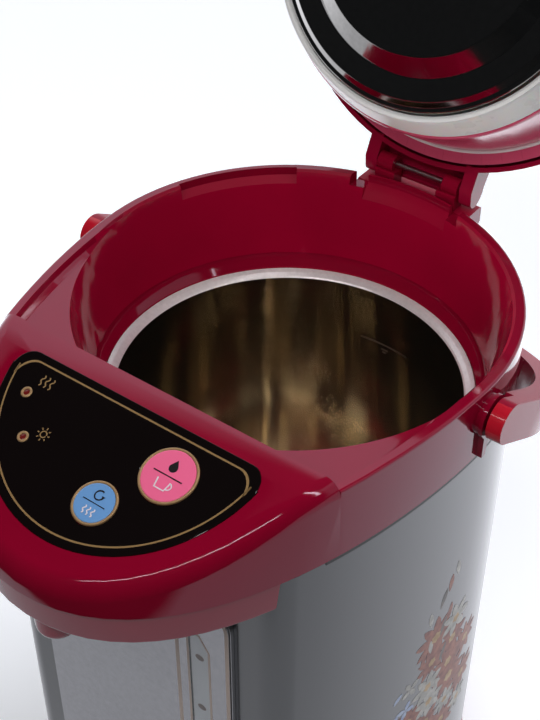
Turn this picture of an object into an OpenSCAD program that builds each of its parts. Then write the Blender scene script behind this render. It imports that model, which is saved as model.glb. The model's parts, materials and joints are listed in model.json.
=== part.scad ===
// Electric thermo pot with a hinged lid, a sloped control nose, a pump spout and a bail handle.
// Sizes are in millimetres. X points to the right of someone facing the pot, -Y to its front.
// Z = 0 is the table and the pot's axis stands on X = 0, Y = 0.

/* [Body] */
// Height of the steel pot's mouth above the table
mouth_z = 288; // [270:1:300]
// Radius of the body at the back and the sides
body_r = 108; // [107:0.5:110]
// How far the nose reaches in front of the pot's axis
nose_reach = 184; // [178:1:190]
// Flat front of the body, in front of the pot's axis
front_y = 121; // [118:1:123]
// Sheet thickness of the body shell
shell_t = 1.5; // [1:0.1:2]

/* [Collar] */
// Height of the seam between body and collar, above the mouth
seam_h = 19; // [17:1:22]
// Height of the rim above the mouth
rim_h = 56; // [54:1:58]
// Radius of the well at the rim
well_top_r = 102; // [100:0.5:102.5]
// Radius of the well at its foot
well_foot_r = 95.5; // [94:0.5:96]
// Wall thickness of the collar
wall = 2.5; // [2:0.1:3]

/* [Control nose] */
// Slope of the control plate
panel_tilt = 20; // [16:1:24]
// Radius of the round edge along the nose
nose_round = 10; // [7:1:12]
// Radius of the pink button with its ring
dispense_r = 12.8; // [11:0.1:14]
// Radius of the blue button with its ring
reboil_r = 10; // [8:0.1:11]
// Travel of both buttons
press_travel = 0.8; // [0.5:0.1:1.2]

/* [Lid] */
// How far the lid stands open
lid_angle = 116; // [0:1:116]
// Height of the hinge pin above the mouth
hinge_h = 61; // [60:0.5:62]
// Hinge pin behind the pot's axis
hinge_back = 113.5; // [113:0.5:114]
// Radius of the polished lid plate
plate_r = 79.8; // [79.5:0.1:80.2]

/* [Steel pot] */
// Radius of the pot's mouth
pot_r = 85; // [83:0.5:85]
// Depth of the pot
pot_depth = 215; // [190:1:220]

/* [Handle] */
// Angle of the resting handle below level
handle_drop = 31; // [31:1:60]
// Reach of the handle from its pivots to the inside of the grip
handle_reach = 138; // [138:1:142]

/* [Hidden] */
$fn = 96;
front_n = 24;
back_n = 48;
ring_n = 2 * front_n + back_n;
side_pull = 50;
front_pull = 84;
seam_z = mouth_z + seam_h;
rim_z = mouth_z + rim_h;
nose_back = 92.5;
hinge_z = mouth_z + hinge_h;
side_draft = 0.8;
corner_r = 16;
corner_x = 70.7;
lug_r = 4.6;
ear_in = 24.5;
ear_out = 31.5;
pivot_y = -4.5;
pivot_z = mouth_z + 41;
bail_r = 108.8;
bail_w = 11;
bail_half = 9.6;
bail_top = 2.8;
hub_in = 112.6;
gauge_x = 41;
gauge_half = 5.4;
gauge_top = mouth_z - 40;
panel_half = 58.8;
panel_top = mouth_z - 16;
gauge_y = -112.5;
base_z = 10;
body_foot = 14;
ring_top = 22;
fit = 0.05;
drum_low = 15.9;
gap = 0.5;
panel_y = 104;
panel_r = 67;
panel_c = 101;
plate_mid = 136;
button_x = [30, 10.5];
button_y = [-123.5, -146.5];
lamp_x = [-50, -37];
lamp_y = [-121.5, -138];
recess_a = [124, 159];
boss_x = 34;
boss_y = -158;
spout_y = -165.5;
pump_y = -52;
flange_r = 90.4;
plate_screw_r = 72;
base_screw_r = 70;
burgundy = "#8c1530";
burgundy_dark = "#6e0c22";
metal_grey = "#5c5e62";
plate_black = "#141011";
gold = "#bd9558";
pink = "#f4528c";
sky = "#78b0ee";
steel = "#c9cbcc";
clear = [0.9, 0.93, 0.95, 0.45];
white_soft = "#dcd9d4";
rubber = "#262626";
board_green = "#2d5a3a";

function bez(a, b, c, d, t) =
    a * pow(1 - t, 3) + 3 * b * t * pow(1 - t, 2) + 3 * c * t * t * (1 - t) + d * pow(t, 3);

// point i of the collar's outline, drawn in by d; i = 0 is the tip of the nose
function rim_pt(i, d) =
    i <= front_n
        ? bez([body_r - d, 0], [body_r - d, -side_pull], [front_pull - 0.6 * d, d - nose_reach],
              [0, d - nose_reach], 1 - i / front_n)
    : i <= front_n + back_n
        ? let (a = 180 * (i - front_n) / back_n) (body_r - d) * [cos(a), sin(a)]
    : let (p = rim_pt(ring_n - i, d)) [-p[0], p[1]];

function rim_outline(d) = [for (i = [0 : ring_n - 1]) rim_pt(i, d)];

// the body follows the collar at the back and the sides and has a flat front
function body_outline(d) =
    let (cx = corner_x, cy = corner_r - front_y, r = corner_r - d,
         side = [for (i = [0 : front_n + back_n / 2]) if (rim_pt(i, d)[1] > -103) rim_pt(i, d)],
         half = concat([for (a = [-90 : 7.5 : -22.5]) [cx + r * cos(a), cy + r * sin(a)]], side))
    concat(half, [for (i = [len(half) - 2 : -1 : 0]) [-half[i][0], half[i][1]]]);

// top of the nose, and of the rim behind it, above the mouth
function nose_top(y) =
    let (s = -y, k = tan(panel_tilt))
    s < 98 ? 60 : s < 106 ? 60 - k * pow(s - 98, 2) / 16 : 60 - 4 * k - k * (s - 106);

function lid_top(y) = 74 - 0.00091 * pow(max(y, -94) - 25, 2);

// a skin through rings of one outline, closed over a spine along the middle
// low: height of the foot; inset and lift: thickness taken off the sides and the top
module skin(low, inset, lift, round_r, rear_r, top, crown) {
    arcs = [0, 18, 36, 54, 72, 90];
    draft = function (i, z) side_draft * min(1, max(0, -rim_pt(i, 0)[1] / 70)) * (z - seam_h) / 37;
    edge = function (i) let (p = rim_pt(i, inset + draft(i, 50) + round_r)) top(p[1]) - lift;
    // the edge's radius runs from rear_r behind the nose to round_r at its tip
    er = function (i) min(edge(i) - low - 0.4,
        rear_r + (round_r - rear_r) * min(1, max(0, (-rim_pt(i, 0)[1] - nose_back) / 40)));
    foot = [for (i = [0 : ring_n - 1])
        let (p = rim_pt(i, inset + draft(i, low))) [p[0], p[1], low]];
    shoulder = [for (a = arcs) for (i = [0 : ring_n - 1])
        let (r = er(i), z = edge(i), base = inset + draft(i, z - r),
             p = rim_pt(i, base + r * (1 - cos(a))))
        [p[0], p[1], a == 90 ? top(p[1]) - lift : z - r * (1 - sin(a))]];
    crowns = [for (f = [0.7, 0.35]) for (i = [0 : ring_n - 1])
        let (r = er(i), p = rim_pt(i, inset + draft(i, edge(i) - r) + r))
        [p[0] * f, p[1], top(p[1]) - lift + crown * (1 - f * f)]];
    spine = [for (i = [0 : ring_n / 2])
        let (r = er(i), p = rim_pt(i, inset + draft(i, edge(i) - r) + r))
        [0, p[1], top(p[1]) - lift + crown]];
    rings = len(arcs) + 3;
    last = (rings - 1) * ring_n;
    mid = function (i) rings * ring_n + min(i % ring_n, ring_n - i % ring_n);
    points = concat(foot, shoulder, crowns, spine);
    walls = [for (k = [0 : rings - 2]) for (i = [0 : ring_n - 1])
        let (j = (i + 1) % ring_n, a = k * ring_n, b = a + ring_n)
        each [[a + i, b + i, b + j], [a + i, b + j, a + j]]];
    lids = [for (i = [0 : ring_n - 1])
        let (j = (i + 1) % ring_n)
        each (mid(i) == mid(j) ? [] : [[last + i, mid(i), mid(j)], [last + i, mid(j), last + j]])];
    floor_face = [[for (i = [0 : ring_n - 1]) i]];
    polyhedron(points, concat(walls, lids, floor_face), convexity = 6);
}

// a solid through drawn-in copies of the collar's outline, each level = [drawn in by, height]
module loft(levels) {
    last = len(levels) - 1;
    points = [for (v = levels) for (p = rim_outline(v[0])) [p[0], p[1], v[1]]];
    walls = [for (k = [0 : last - 1]) for (i = [0 : ring_n - 1])
        let (j = (i + 1) % ring_n, a = k * ring_n, b = a + ring_n)
        each [[a + i, b + i, b + j], [a + i, b + j, a + j]]];
    foot = [for (i = [0 : ring_n - 1]) i];
    top = [for (i = [ring_n - 1 : -1 : 0]) last * ring_n + i];
    polyhedron(points, concat(walls, [foot, top]), convexity = 6);
}

module box(x, y, z) {
    translate([x[0], y[0], z[0]]) cube([x[1] - x[0], y[1] - y[0], z[1] - z[0]]);
}

// across X: a side profile in Y and Z drawn out from x0 to x1
module across(x0, x1, profile) {
    translate([x0, 0, 0]) rotate([90, 0, 90]) linear_extrude(x1 - x0) polygon(profile);
}

module pin_x(x0, x1, y, z, r) {
    translate([x0, y, z]) rotate([0, 90, 0]) cylinder(h = x1 - x0, r = r);
}

// children stand on the control plate: X right, Y up the slope, Z out of the plate
module on_panel(x, y, lift = 0) {
    translate([x, y, mouth_z + nose_top(y)]) rotate([panel_tilt, 0, 0]) translate([0, 0, lift])
        children();
}

module at_open() {
    translate([0, hinge_back, hinge_z]) rotate([-lid_angle, 0, 0])
        translate([0, -hinge_back, -mouth_z - hinge_h]) children();
}

module mirrored() {
    children();
    mirror([1, 0, 0]) children();
}

module body_shell() {
    color(metal_grey) difference() {
        translate([0, 0, body_foot]) linear_extrude(seam_z - 0.6 - body_foot) polygon(body_outline(gap));
        translate([0, 0, body_foot - 1]) linear_extrude(seam_z) polygon(body_outline(gap + shell_t));
        box([gauge_x - 11.5, gauge_x + 11.5], [-front_y - 2, -front_y + 4], [48, gauge_top + 12]);
        box([-14, 14], [-front_y - 2, -front_y + 4], [200, seam_z + 1]);
        box([-19, 19], [100, 112], [36, 62]);
    }
}

// outline of the gauge's window, drawn in by d, as a bar from y0 to y1
module gauge_slot(d, y0, y1) {
    left = gauge_x - gauge_half + d;
    right = gauge_x + gauge_half - d;
    translate([0, y0, 0]) rotate([90, 0, 0]) mirror([0, 0, 1]) linear_extrude(y1 - y0)
        polygon([[left, 62 + d], [right, 62 + d], [right, gauge_top - 8], [right - 5, gauge_top - d],
                 [left, gauge_top - d]]);
}

// front view of the panel with round upper corners, drawn in by d
module panel_front(d) {
    r = 12;
    x = panel_half - r;
    translate([0, -front_y - 6, 0]) rotate([90, 0, 0]) mirror([0, 0, 1]) linear_extrude(8)
        polygon(concat([[-panel_half + d, 30], [panel_half - d, 30]],
            [for (a = [0 : 15 : 90]) [x + (r - d) * cos(a), panel_top - r + (r - d) * sin(a)]],
            [for (a = [90 : 15 : 180]) [-x + (r - d) * cos(a), panel_top - r + (r - d) * sin(a)]]));
}

module front_panel() {
    color("#75777b") difference() {
        intersection() {
            across(-panel_half, panel_half, [[gap - front_y, 34], [-2.4 - front_y, 37],
                [-3 - front_y, 44], [-3 - front_y, mouth_z], [gap - front_y, mouth_z]]);
            panel_front(0);
        }
        gauge_slot(0, -front_y - 5, -front_y + 2);
        // low step along the edge
        intersection() {
            difference() {
                panel_front(-1);
                panel_front(1.2);
            }
            box([-70, 70], [-front_y - 4, -front_y - 1.8], [30, 300]);
        }
    }
}

module gauge_window() {
    color(clear) gauge_slot(0.1, -front_y - 2.6, -front_y - 1.4);
}

module gauge_tube() {
    color(clear) translate([gauge_x, gauge_y, 50]) difference() {
        cylinder(h = 236, r = 3.5);
        translate([0, 0, -1]) cylinder(h = 240, r = 2.5);
    }
}

module gauge_back() {
    color("white") difference() {
        box([gauge_x - 10, gauge_x + 10], [0.7 - front_y, gauge_y + 5], [52, gauge_top + 8]);
        box([gauge_x - 7.5, gauge_x + 7.5], [-front_y, gauge_y + 4], [54, gauge_top + 6]);
        translate([gauge_x, gauge_y, 40]) cylinder(h = 260, r = 3.6);
    }
}

module base_ring() {
    color(burgundy) difference() {
        translate([0, 0, 5]) linear_extrude(ring_top - 5) polygon(body_outline(-1.2));
        translate([0, 0, body_foot]) linear_extrude(20) polygon(body_outline(gap - 0.05));
        translate([0, 0, 4]) linear_extrude(20) polygon(body_outline(4));
    }
}

module bottom_plate() {
    color("#2c2c2e") difference() {
        union() {
            translate([0, 0, base_z]) linear_extrude(3) polygon(body_outline(4.1));
            translate([0, 0, 1.9]) cylinder(h = 9.6, r = 8);
            for (a = [45 : 90 : 315]) rotate(a) translate([base_screw_r, 0, base_z]) cylinder(h = 9, r = 4);
        }
        translate([0, 0, 1]) cylinder(h = 20, r = 1.5);
        for (a = [45 : 90 : 315]) rotate(a) translate([base_screw_r, 0, base_z - 1])
            cylinder(h = 14, r = 1.6);
        for (a = [0 : 15 : 345]) rotate(a) translate([40, -1.2, base_z - 1]) cube([14, 2.4, 6]);
    }
}

module base_screws() {
    color(steel) for (a = [45 : 90 : 315]) rotate(a) translate([base_screw_r, 0, base_z - 1.8]) {
        cylinder(h = 1.8, r = 3);
        cylinder(h = 10, r = 1.55);
    }
}

module turntable() {
    color("#2c2c2e") difference() {
        translate([0, 0, 2]) cylinder(h = 7.4, r = 96);
        translate([0, 0, 4.5]) difference() {
            cylinder(h = 8, r = 93);
            translate([0, 0, -1]) cylinder(h = 5.4, r = 13);
        }
        translate([0, 0, 1]) cylinder(h = 12, r = 8 + fit);
        for (a = [0 : 60 : 300]) rotate(a) translate([48, 0, 1]) cylinder(h = 5, r = 14);
        for (a = [30 : 60 : 330]) rotate(a) translate([84, 0, 1]) cylinder(h = 2.5, r = 2.95);
    }
}

module turntable_screw() {
    color(steel) {
        translate([0, 0, 0.7]) cylinder(h = 1.2, r = 10.5);
        translate([0, 0, 1.9]) cylinder(h = 8, r = 1.45);
    }
}

module turntable_feet() {
    color(rubber) {
        for (a = [30 : 60 : 330]) rotate(a) translate([84, 0, 0]) {
            cylinder(h = 2, r = 6);
            cylinder(h = 3.4, r = 2.9);
        }
        // pad over the centre screw
        difference() {
            cylinder(h = 2, r = 16);
            translate([0, 0, 0.6]) cylinder(h = 3, r = 11);
        }
    }
}

module mains_inlet() {
    color("#1c1c1e") difference() {
        union() {
            box([-18.5, 18.5], [84, 108], [36.5, 61.5]);
            box([-21, 21], [107.6, 109.4], [34, 64]);
        }
        box([-15.5, 15.5], [91, 110], [39.5, 58.5]);
        for (x = [-8, 0, 8]) box([x - 1.3, x + 1.3], [80, 95], [46.5, 51.5]);
    }
}

module inlet_pins() {
    color(steel) for (x = [-8, 0, 8]) box([x - 1.25, x + 1.25], [79, 102], [46.6, 51.4]);
}

// the well that the lid closes, grown by d
module well(d) {
    intersection() {
        translate([0, 0, mouth_z]) rotate_extrude($fn = 144) polygon([
            [0, -2.6 - d], [90.8 + d, -2.6 - d], [90.8 + d, 1.9], [well_foot_r + d, 8.2],
            [well_top_r + d, rim_h - 1.2], [well_top_r + d + 1.2, rim_h], [well_top_r + d + 1.2, rim_h + 20],
            [0, rim_h + 20]]);
        box([-120, 120], [-nose_back - d, 120], [mouth_z - 20, mouth_z + 90]);
    }
}

module hinge_lugs() {
    back = hinge_back + 2.6;
    mirrored() difference() {
        union() {
            pin_x(14.5, 23.6, hinge_back, hinge_z, lug_r);
            across(12.5, 23.6, [[hinge_back - 5.8, mouth_z + 45], [back, mouth_z + 45],
                [back, mouth_z + 57.6], [hinge_back - 5, mouth_z + 58.3],
                [hinge_back - 5.8, mouth_z + 57.8]]);
        }
        pin_x(10, 40, hinge_back, hinge_z, 1.5 + fit);
    }
}

module handle_boss() {
    mirrored() {
        pin_x(body_r - 5, 110, pivot_y, pivot_z, 9.6);
        pin_x(109.6, 111.4, pivot_y, pivot_z, 10.4);
        pin_x(111, 117, pivot_y, pivot_z, 4);
        across(body_r - 4, 110.4, [[pivot_y - 4.5, seam_z + 0.1], [pivot_y - 1.5, seam_z + 0.1],
            [pivot_y + 1.5, pivot_z], [pivot_y - 4.5, pivot_z]]);
    }
}

// nose and rim have tops and round edges of their own and meet at the nose's rear face
module collar_body() {
    difference() {
        union() {
            intersection() {
                skin(seam_h, 0, 0, nose_round, 8, function (y) nose_top(y), 0);
                box([-130, 130], [-nose_reach - 1, -nose_back], [seam_h - 1, 90]);
            }
            intersection() {
                skin(seam_h, 0, 0, 1.4, 1.4, function (y) min(rim_h, nose_top(y)), 0);
                box([-130, 130], [-nose_back, 130], [seam_h - 1, 90]);
            }
        }
        difference() {
            skin(seam_h - 1, wall, wall, nose_round - 2, 6, function (y) nose_top(y), 0);
            box([-130, 130], [-nose_back - wall, 130], [seam_h + 26, 80]);
        }
    }
}

module collar_cuts() {
    well(0);
    translate([0, 0, mouth_z - 8]) cylinder(h = 8, r = 87.5);
    // shelf inside the rim at the front corners
    intersection() {
        translate([0, 0, rim_z]) loft([[9.4, -4.6], [6.6, -3], [5.6, 0.5], [5.6, 10]]);
        box([-130, 130], [-nose_back, 0], [rim_z - 6, rim_z + 5]);
    }
    // the wall leans back at the hinge and has a slot for each ear of the lid
    intersection() {
        translate([0, 0, mouth_z]) rotate_extrude($fn = 144) polygon([[95, 44], [100.6, 44],
            [105.4, 52], [105.4, 70], [95, 70]]);
        box([-ear_in, ear_in], [90, 130], [mouth_z + 40, rim_z + 20]);
    }
    mirrored() box([ear_in - 0.3, ear_out + 0.3], [90, 130], [mouth_z + 50.4, rim_z + 10]);
    // finger recess in the rim at the left rear
    intersection() {
        translate([0, 0, mouth_z]) rotate_extrude($fn = 144) polygon([[95, 48], [100.9, 48],
            [104.4, 51.6], [104.6, 70], [95, 70]]);
        translate([0, 0, mouth_z + 40]) linear_extrude(30) polygon([[0, 0],
            [150 * cos(recess_a[0]), 150 * sin(recess_a[0])],
            [150 * cos(recess_a[1]), 150 * sin(recess_a[1])]]);
    }
    // seat of the control plate with holes for buttons and lamps
    panel_solid(-0.15, -1.2, 12);
    on_panel(button_x[0], button_y[0], -12) cylinder(h = 20, r = dispense_r - 2);
    on_panel(button_x[1], button_y[1], -12) cylinder(h = 20, r = reboil_r - 2);
    for (k = [0, 1]) on_panel(lamp_x[k], lamp_y[k], -12) cylinder(h = 20, r = 2.2);
    for (x = [-boss_x, boss_x]) translate([x, boss_y, seam_z - 12]) cylinder(h = 20, r = 1.6);
}

module collar() {
    color(burgundy) {
        difference() {
            union() {
                translate([0, 0, mouth_z]) collar_body();
                difference() {
                    well(wall);
                    translate([0, 0, rim_z - 8]) cylinder(h = 90, r = 150);
                }
                across(-ear_out - 1, ear_out + 1, [[101.5, seam_z + 6], [109, seam_z + 10],
                    [121, seam_z + 22], [121, mouth_z + 49], [119.5, mouth_z + 49.9],
                    [106, mouth_z + 49.9], [101.5, mouth_z + 47]]);
                handle_boss();
                for (x = [-boss_x, boss_x]) translate([x, boss_y, seam_z - 8]) cylinder(h = 27, r = 4);
            }
            collar_cuts();
        }
        hinge_lugs();
    }
}

// outline of the control plate, seen square to the slope, drawn in by d
module panel_shape(d) {
    k = 1 / cos(panel_tilt);
    rear = -panel_y - d;
    r = panel_r - d;
    a0 = asin((panel_c - panel_y - 8) / r);
    polygon(concat(
        [for (i = [0 : 46]) let (a = 180 - a0 + i * (180 + 2 * a0) / 46)
            [r * cos(a), (-panel_c + r * sin(a)) * k]],
        [for (a = [0 : 15 : 90]) [r - 9.5 + 8 * cos(a), (rear - 9 + 9 * sin(a)) * k]],
        [for (a = [90 : 15 : 180]) [-r + 9.5 + 8 * cos(a), (rear - 9 + 9 * sin(a)) * k]]));
}

module panel_solid(d, lift, h) {
    on_panel(0, -plate_mid, lift) translate([0, plate_mid / cos(panel_tilt), 0]) linear_extrude(h)
        panel_shape(d);
}

module control_plate() {
    color(plate_black) difference() {
        panel_solid(0, -1, 1.2);
        on_panel(button_x[0], button_y[0], -5) cylinder(h = 10, r = dispense_r + 0.2);
        on_panel(button_x[1], button_y[1], -5) cylinder(h = 10, r = reboil_r + 0.2);
        for (k = [0, 1]) on_panel(lamp_x[k], lamp_y[k], -5) cylinder(h = 10, r = 2.7);
    }
}

module push_button(r) {
    rotate_extrude() polygon([[0, -8], [2.5, -8], [2.5, -2.5], [r - 2.6, -2.5], [r - 2.6, -0.2],
        [r, -0.1], [r, 0.5], [r - 0.4, 0.9], [r - 1.6, 0.9], [r - 1.8, 0.75], [0, 1]]);
}

module dispense_button() {
    color(pink) on_panel(button_x[0], button_y[0]) push_button(dispense_r);
}

module reboil_button() {
    color(sky) on_panel(button_x[1], button_y[1]) push_button(reboil_r);
}

module lamp_lenses() {
    color(gold) for (k = [0, 1]) on_panel(lamp_x[k], lamp_y[k]) {
        translate([0, 0, -6]) cylinder(h = 6.3, r = 2);
        translate([0, 0, -0.9]) cylinder(h = 1.3, r = 2.6);
    }
}

module control_board() {
    color(board_green) on_panel(0, -132, -12.5) difference() {
        box([-58, 48], [-21, 18], [0, 1.6]);
        for (x = [-52, 42]) translate([x, 0, -1]) cylinder(h = 5, r = 1.6);
    }
}

module tact_switches() {
    color("#303030") for (k = [0, 1]) on_panel(button_x[k], button_y[k], -10.9) {
        box([-3, 3], [-3, 3], [0, 1.2]);
        translate([0, 0, 1.1]) cylinder(h = 0.9, r = 1.7);
    }
}

module nose_cover() {
    color(burgundy_dark) difference() {
        intersection() {
            translate([0, 0, mouth_z]) union() {
                loft([[4.8, 0.6], [3.2, 1], [2.5, 2.4], [1.5, seam_h - 0.4]]);
                loft([[3.6, 10], [3.6, seam_h + 3]]);
            }
            difference() {
                box([-90, 90], [-nose_reach, -110], [mouth_z, seam_z + 8]);
                translate([0, 0, mouth_z - 1]) linear_extrude(40) polygon(body_outline(-0.3));
            }
        }
        difference() {
            translate([0, 0, mouth_z]) loft([[5.4, 2.8], [5.4, 40]]);
            translate([0, 0, mouth_z - 1]) linear_extrude(50) polygon(body_outline(-2));
            box([-90, 90], [-110, 130], [mouth_z, seam_z + 60]);
            for (x = [-boss_x, boss_x]) translate([x, boss_y, mouth_z]) cylinder(h = 10.7, r = 4.4);
        }
        translate([0, spout_y, mouth_z]) cylinder(h = 30, r = 9.1);
        for (x = [-boss_x, boss_x]) translate([x, boss_y, mouth_z]) cylinder(h = 30, r = 1.7);
        box([20, 46], [-front_y - 5, -front_y + 2], [mouth_z + 16, seam_z + 9]);
    }
}

module spout() {
    color(burgundy_dark) translate([0, spout_y, mouth_z]) difference() {
        union() {
            rotate_extrude() polygon(concat([[0, -22]],
                [for (a = [-90 : 15 : 0]) [4 + 5.6 * cos(a), -16.4 + 5.6 * sin(a)]],
                [[10, 0.4], [0, 0.4]]));
            translate([0, 0, 0.2]) cylinder(h = 4, r = 9);
            difference() {
                translate([0, 0, 3]) cylinder(h = 2.4, r = 12);
                box([-20, 20], [-20, -8.6], [2, 8]);
            }
            translate([0, 0, 3]) cylinder(h = 17, r = 5);
        }
        translate([0, 0, -30]) cylinder(h = 60, r = 3.4);
        translate([0, 0, -23]) cylinder(h = 6, r1 = 5.4, r2 = 4.4);
    }
}

module nose_screws() {
    color(steel) for (x = [-boss_x, boss_x]) translate([x, boss_y, mouth_z - 1.2]) {
        cylinder(h = 1.8, r = 3);
        cylinder(h = 20, r = 1.55);
    }
}

module inner_pot() {
    t = 0.8;
    round_r = 14;
    color(steel) translate([0, 0, mouth_z]) difference() {
        rotate_extrude($fn = 144) polygon(concat([[0, -pot_depth - t]],
            [for (a = [-90 : 15 : 0]) [pot_r - round_r + (round_r + t) * cos(a),
                -pot_depth + round_r + (round_r + t) * sin(a)]],
            [[pot_r + t, -1.8], [88.3, -0.2], [flange_r, 0.7], [flange_r, 1.6], [88, 0.7],
                [pot_r + 0.8, -0.6], [pot_r, -1.4]],
            [for (a = [0 : -15 : -90]) [pot_r - round_r + round_r * cos(a),
                -pot_depth + round_r + round_r * sin(a)]],
            [[0, -pot_depth]]));
        translate([0, pump_y, -pot_depth - 3]) cylinder(h = 8, r = 5);
    }
}

module pot_gasket() {
    color(white_soft) translate([0, 0, mouth_z]) rotate_extrude() polygon([[86.3, -2.5],
        [flange_r + 0.2, -2.5], [flange_r + 0.2, 0.4], [88.6, -0.4], [86.3, -1.6]]);
}

module heater_plate() {
    color("#8b8d90") translate([0, 0, mouth_z - pot_depth - 9]) difference() {
        union() {
            cylinder(h = 8.1, r = 62);
            rotate_extrude() translate([48, 0]) circle(r = 4);
        }
        translate([0, pump_y, -6]) cylinder(h = 20, r = 9);
        translate([0, 0, -1]) cylinder(h = 20, r = 12);
    }
}

module band_heater() {
    color("#9c8a5e") translate([0, 0, mouth_z - pot_depth + 22]) difference() {
        cylinder(h = 34, r = 88);
        translate([0, 0, -1]) cylinder(h = 40, r = pot_r + 0.9);
        box([-3, 3], [80, 92], [-2, 42]);
    }
}

module thermostat() {
    color("#d7d2c4") translate([0, 0, mouth_z - pot_depth - 14]) {
        cylinder(h = 13, r = 9);
        translate([0, 0, -5]) for (x = [-5, 5]) box([x - 0.4, x + 0.4], [-3, 3], [-3, 6]);
    }
}

module pump() {
    color(white_soft) translate([0, pump_y, 36]) difference() {
        union() {
            cylinder(h = 12, r = 19);
            translate([0, 0, 11]) cylinder(h = 11, r = 6);
            translate([0, -2, 6]) rotate([0, 90, 0]) cylinder(h = 30, r = 4.5);
        }
        translate([0, 0, 14]) cylinder(h = 12, r = 4);
        translate([16, -2, 6]) rotate([0, 90, 0]) cylinder(h = 20, r = 3);
    }
}

module pump_motor() {
    color("#a9abad") translate([0, pump_y, 13]) {
        cylinder(h = 18, r = 14);
        translate([0, 0, 17]) cylinder(h = 6, r = 11);
    }
}

module inlet_hose() {
    color("#e8e4dc") translate([0, pump_y, 50]) difference() {
        cylinder(h = mouth_z - pot_depth - 51.1, r = 8);
        translate([0, 0, -1]) cylinder(h = 9.3, r = 6.05);
        cylinder(h = 40, r = 4.2);
    }
}

module riser_hose() {
    color("#e8e4dc") difference() {
        union() {
            translate([30, -54, 42]) rotate([0, 90, 0]) cylinder(h = gauge_x - 30, r = 5);
            translate([gauge_x, -54, 42]) sphere(r = 6.2);
            translate([gauge_x, -54, 42]) rotate([90, 0, 0]) cylinder(h = -54 - gauge_y, r = 5);
            translate([gauge_x, gauge_y, 42]) sphere(r = 6.2);
            translate([gauge_x, gauge_y, 42]) cylinder(h = 9.8, r = 5);
        }
        translate([gauge_x, gauge_y, 49.9]) cylinder(h = 6, r = 3.6);
    }
}

module outlet_hose() {
    across_x = -gauge_x;
    across_y = spout_y - gauge_y;
    color("#e8e4dc") difference() {
        union() {
            translate([gauge_x, gauge_y, 284.5]) cylinder(h = 27.5, r = 5);
            translate([gauge_x, gauge_y, 312]) sphere(r = 6.2);
            translate([gauge_x, gauge_y, 312]) rotate([0, 0, atan2(across_y, across_x)])
                rotate([0, 90, 0]) cylinder(h = norm([across_x, across_y]), r = 5);
            translate([0, spout_y, 312]) sphere(r = 8);
            translate([0, spout_y, 299.4]) cylinder(h = 12, r = 7);
        }
        translate([0, spout_y, 290]) cylinder(h = 18.2, r = 5.1);
        translate([gauge_x, gauge_y, 280]) cylinder(h = 6.3, r = 3.6);
    }
}

module mains_board() {
    color(board_green) {
        box([-50, -24], [-30, 50], [24, 25.6]);
        for (y = [-20, 8, 34]) box([-44, -30], [y, y + 12], [25.5, 36]);
    }
    color(white_soft) for (y = [-26, 46]) translate([-37, y, 13]) cylinder(h = 11.1, r = 2.5);
}

// The lid's modules draw it closed, at_open() swings them up about the hinge pin.
// room in which the lid can swing past the nose's rear edge
module swing_room() {
    pin_x(-130, 130, hinge_back, hinge_h, hinge_back + nose_back - 0.6);
}

module lid_skin(foot, inset, lift, round_r) {
    skin(foot, inset, lift, round_r, round_r - 2, function (y) lid_top(y), 2.5);
}

module lid_shell_closed() {
    difference() {
        union() {
            difference() {
                lid_skin(57, 0.6, 0, 6);
                difference() {
                    lid_skin(50, 0.6 + wall, wall, 4);
                    box([-130, 130], [-200, 3.5 - nose_back], [40, 90]);
                    across(-23, 23, [[-85, 59.4], [-37, 59.4], [-37, 90], [-85, 90]]);
                }
            }
            // hinge arm with a hood over the knuckles and an ear at each side
            across(-ear_out + 0.5, ear_out - 0.5, concat([[98, 65], [106, 66.5]],
                [for (a = [140 : -15 : 50]) [hinge_back + 8.4 * cos(a), hinge_h + 8.4 * sin(a)]],
                [for (a = [50 : 10 : 100]) [hinge_back + 10.6 * cos(a), hinge_h + 10.6 * sin(a)]],
                [[98, 72]]));
            mirrored() across(ear_in, ear_out, concat([[101, 57.4], [114, 57.4]],
                [for (a = [-70 : 20 : 90]) [117 + 4.6 * cos(a), 64.4 + 4.6 * sin(a)]], [[101, 71.4]]));
        }
        box([-130, 130], [-250, 1 - nose_back], [30, 120]);
        pin_x(-ear_out + 2, ear_out - 2, hinge_back, hinge_h, 1.5 + fit);
        // pocket of the lid lever, steam slots
        box([-21, 21], [-81, -39], [61, 90]);
        pin_x(-22.4, 22.4, -77, 64.2, 1.3);
        for (k = [0 : 5]) translate([-17.5 + 7 * k, 52, 50]) box([-1.2, 1.2], [-9, 9], [0, 40]);
    }
}

module lid_shell() {
    color(burgundy) at_open() translate([0, 0, mouth_z]) lid_shell_closed();
}

// drum under the lid, drawn in by d
module drum(d, low, high) {
    intersection() {
        rotate_extrude($fn = 144) polygon([[0, 0], [90.4 - d, 0], [90.4 - d, drum_low],
            [91.4 - d, drum_low + 1.2], [97 - d, 58.5], [97 - d, 80], [0, 80]]);
        box([-120, 120], [2.2 - nose_back + d, 120], [low, high]);
        pin_x(-130, 130, hinge_back, hinge_h, hinge_back + nose_back - 0.6 - d);
    }
}

module lid_liner() {
    color(burgundy) at_open() translate([0, 0, mouth_z]) difference() {
        union() {
            drum(0, drum_low, 56.9);
            intersection() {
                translate([0, 0, 56.7]) cylinder(h = 2.3, r = 103.5);
                box([-120, 120], [8 - nose_back, 120], [50, 90]);
            }
        }
        difference() {
            drum(2, 5, 70);
            translate([0, 0, 5]) cylinder(h = drum_low - 2.6, r = 100);
        }
        translate([0, 0, 5]) cylinder(h = 30, r = 30);
        for (a = [30 : 60 : 330]) rotate(a) translate([plate_screw_r, 0, 5]) cylinder(h = 20, r = 1.6);
    }
}

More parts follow.
